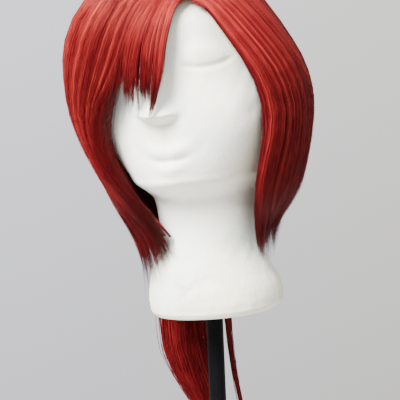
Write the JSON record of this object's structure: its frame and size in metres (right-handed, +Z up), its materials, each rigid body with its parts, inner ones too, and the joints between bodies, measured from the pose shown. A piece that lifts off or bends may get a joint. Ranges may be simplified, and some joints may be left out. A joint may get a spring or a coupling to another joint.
{
  "type": "mannequin training head",
  "caption": "Foam mannequin head with a plain closed-eyed face and a long layered wig, on a telescopic column with a folding tripod.",
  "frame": {"origin": "on the floor, under the middle of everything the object covers", "axes": "+Z up along the column; the face looks towards -Y and the wearer's left is +X"},
  "size_m": [0.4034, 0.3524, 0.951],
  "materials": {
    "foam": "matte",
    "hair": "satin",
    "cap_net": "matte",
    "elastic": "matte",
    "black_tube": "satin",
    "black_plastic": "satin",
    "nylon": "satin",
    "steel": "satin",
    "rubber": "matte"
  },
  "bodies": {
    "base": {"apex_casting": "black_plastic", "column_bush": "nylon", "leg_pivot_pin_1": "steel", "leg_pivot_pin_2": "steel", "leg_pivot_pin_3": "steel"},
    "clamp": {"clamp_screw": "steel", "clamp_knob": "black_plastic"},
    "column": {"column_tube": "black_tube", "column_top_plug": "black_plastic", "column_bottom_cap": "black_plastic", "mount_screw": "steel"},
    "mount": {"head_mount": "black_plastic"},
    "head": {"foam_head": "foam", "wig_cap": "cap_net", "ear_tab_right": "elastic", "ear_tab_left": "elastic", "adjuster_strap_right": "elastic", "adjuster_strap_left": "elastic", "nape_band": "elastic", "crown_hair": "hair", "fringe_center": "hair", "fringe_right": "hair", "fringe_left": "hair", "side_hair_right": "hair", "side_hair_left": "hair", "back_hair_left": "hair", "back_hair_right": "hair", "tail_hair_inner": "hair", "tail_hair_outer": "hair"},
    "leg_1": {"leg_knuckle_1": "black_plastic", "upper_leg_tube_1": "black_tube", "leg_lock_collar_1": "black_plastic", "lever_pin_1": "steel"},
    "leg_1_lower": {"lower_leg_tube_1": "black_tube", "rubber_foot_1": "rubber"},
    "lever_1": {"leg_lock_lever_1": "black_plastic"},
    "leg_2": {"leg_knuckle_2": "black_plastic", "upper_leg_tube_2": "black_tube", "leg_lock_collar_2": "black_plastic", "lever_pin_2": "steel"},
    "leg_2_lower": {"lower_leg_tube_2": "black_tube", "rubber_foot_2": "rubber"},
    "lever_2": {"leg_lock_lever_2": "black_plastic"},
    "leg_3": {"leg_knuckle_3": "black_plastic", "upper_leg_tube_3": "black_tube", "leg_lock_collar_3": "black_plastic", "lever_pin_3": "steel"},
    "leg_3_lower": {"lower_leg_tube_3": "black_tube", "rubber_foot_3": "rubber"},
    "lever_3": {"leg_lock_lever_3": "black_plastic"}
  },
  "joints": [
    {"name": "column_slide", "type": "slide", "parent": "base", "child": "column", "axis": [0, 0, 1], "range_m": [0, 0.15]},
    {"name": "clamp_turn", "type": "hinge", "parent": "base", "child": "clamp", "pos_m": [0, -0.0915, 0.349], "axis": [0, -1, 0], "range_deg": [0, 360]},
    {"name": "head_turn", "type": "hinge", "parent": "column", "child": "mount", "pos_m": [0, -0.05548, 0.69], "axis": [0, 0, 1], "continuous": true},
    {"name": "head_lift", "type": "slide", "parent": "mount", "child": "head", "axis": [0, 0, 1], "range_m": [0, 0.12]},
    {"name": "leg_1_fold", "type": "hinge", "parent": "base", "child": "leg_1", "pos_m": [0, -0.02648, 0.33], "axis": [-1, 0, 0], "range_deg": [0, 30]},
    {"name": "leg_1_extend", "type": "slide", "parent": "leg_1", "child": "leg_1_lower", "axis": [0, 0.5, -0.866], "range_m": [-0.04, 0.11]},
    {"name": "leg_1_lock", "type": "hinge", "parent": "leg_1", "child": "lever_1", "pos_m": [0, 0.10079, 0.14136], "axis": [1, 0, 0], "range_deg": [0, 100]},
    {"name": "leg_2_fold", "type": "hinge", "parent": "base", "child": "leg_2", "pos_m": [-0.02511, -0.06998, 0.33], "axis": [0.5, -0.866, 0], "range_deg": [0, 30]},
    {"name": "leg_2_extend", "type": "slide", "parent": "leg_2", "child": "leg_2_lower", "axis": [-0.433, -0.25, -0.866], "range_m": [-0.04, 0.11]},
    {"name": "leg_2_lock", "type": "hinge", "parent": "leg_2", "child": "lever_2", "pos_m": [-0.13533, -0.13362, 0.14136], "axis": [-0.5, 0.866, 0], "range_deg": [0, 100]},
    {"name": "leg_3_fold", "type": "hinge", "parent": "base", "child": "leg_3", "pos_m": [0.02511, -0.06998, 0.33], "axis": [0.5, 0.866, 0], "range_deg": [0, 30]},
    {"name": "leg_3_extend", "type": "slide", "parent": "leg_3", "child": "leg_3_lower", "axis": [0.433, -0.25, -0.866], "range_m": [-0.04, 0.11]},
    {"name": "leg_3_lock", "type": "hinge", "parent": "leg_3", "child": "lever_3", "pos_m": [0.13533, -0.13362, 0.14136], "axis": [-0.5, -0.866, 0], "range_deg": [0, 100]}
  ]
}
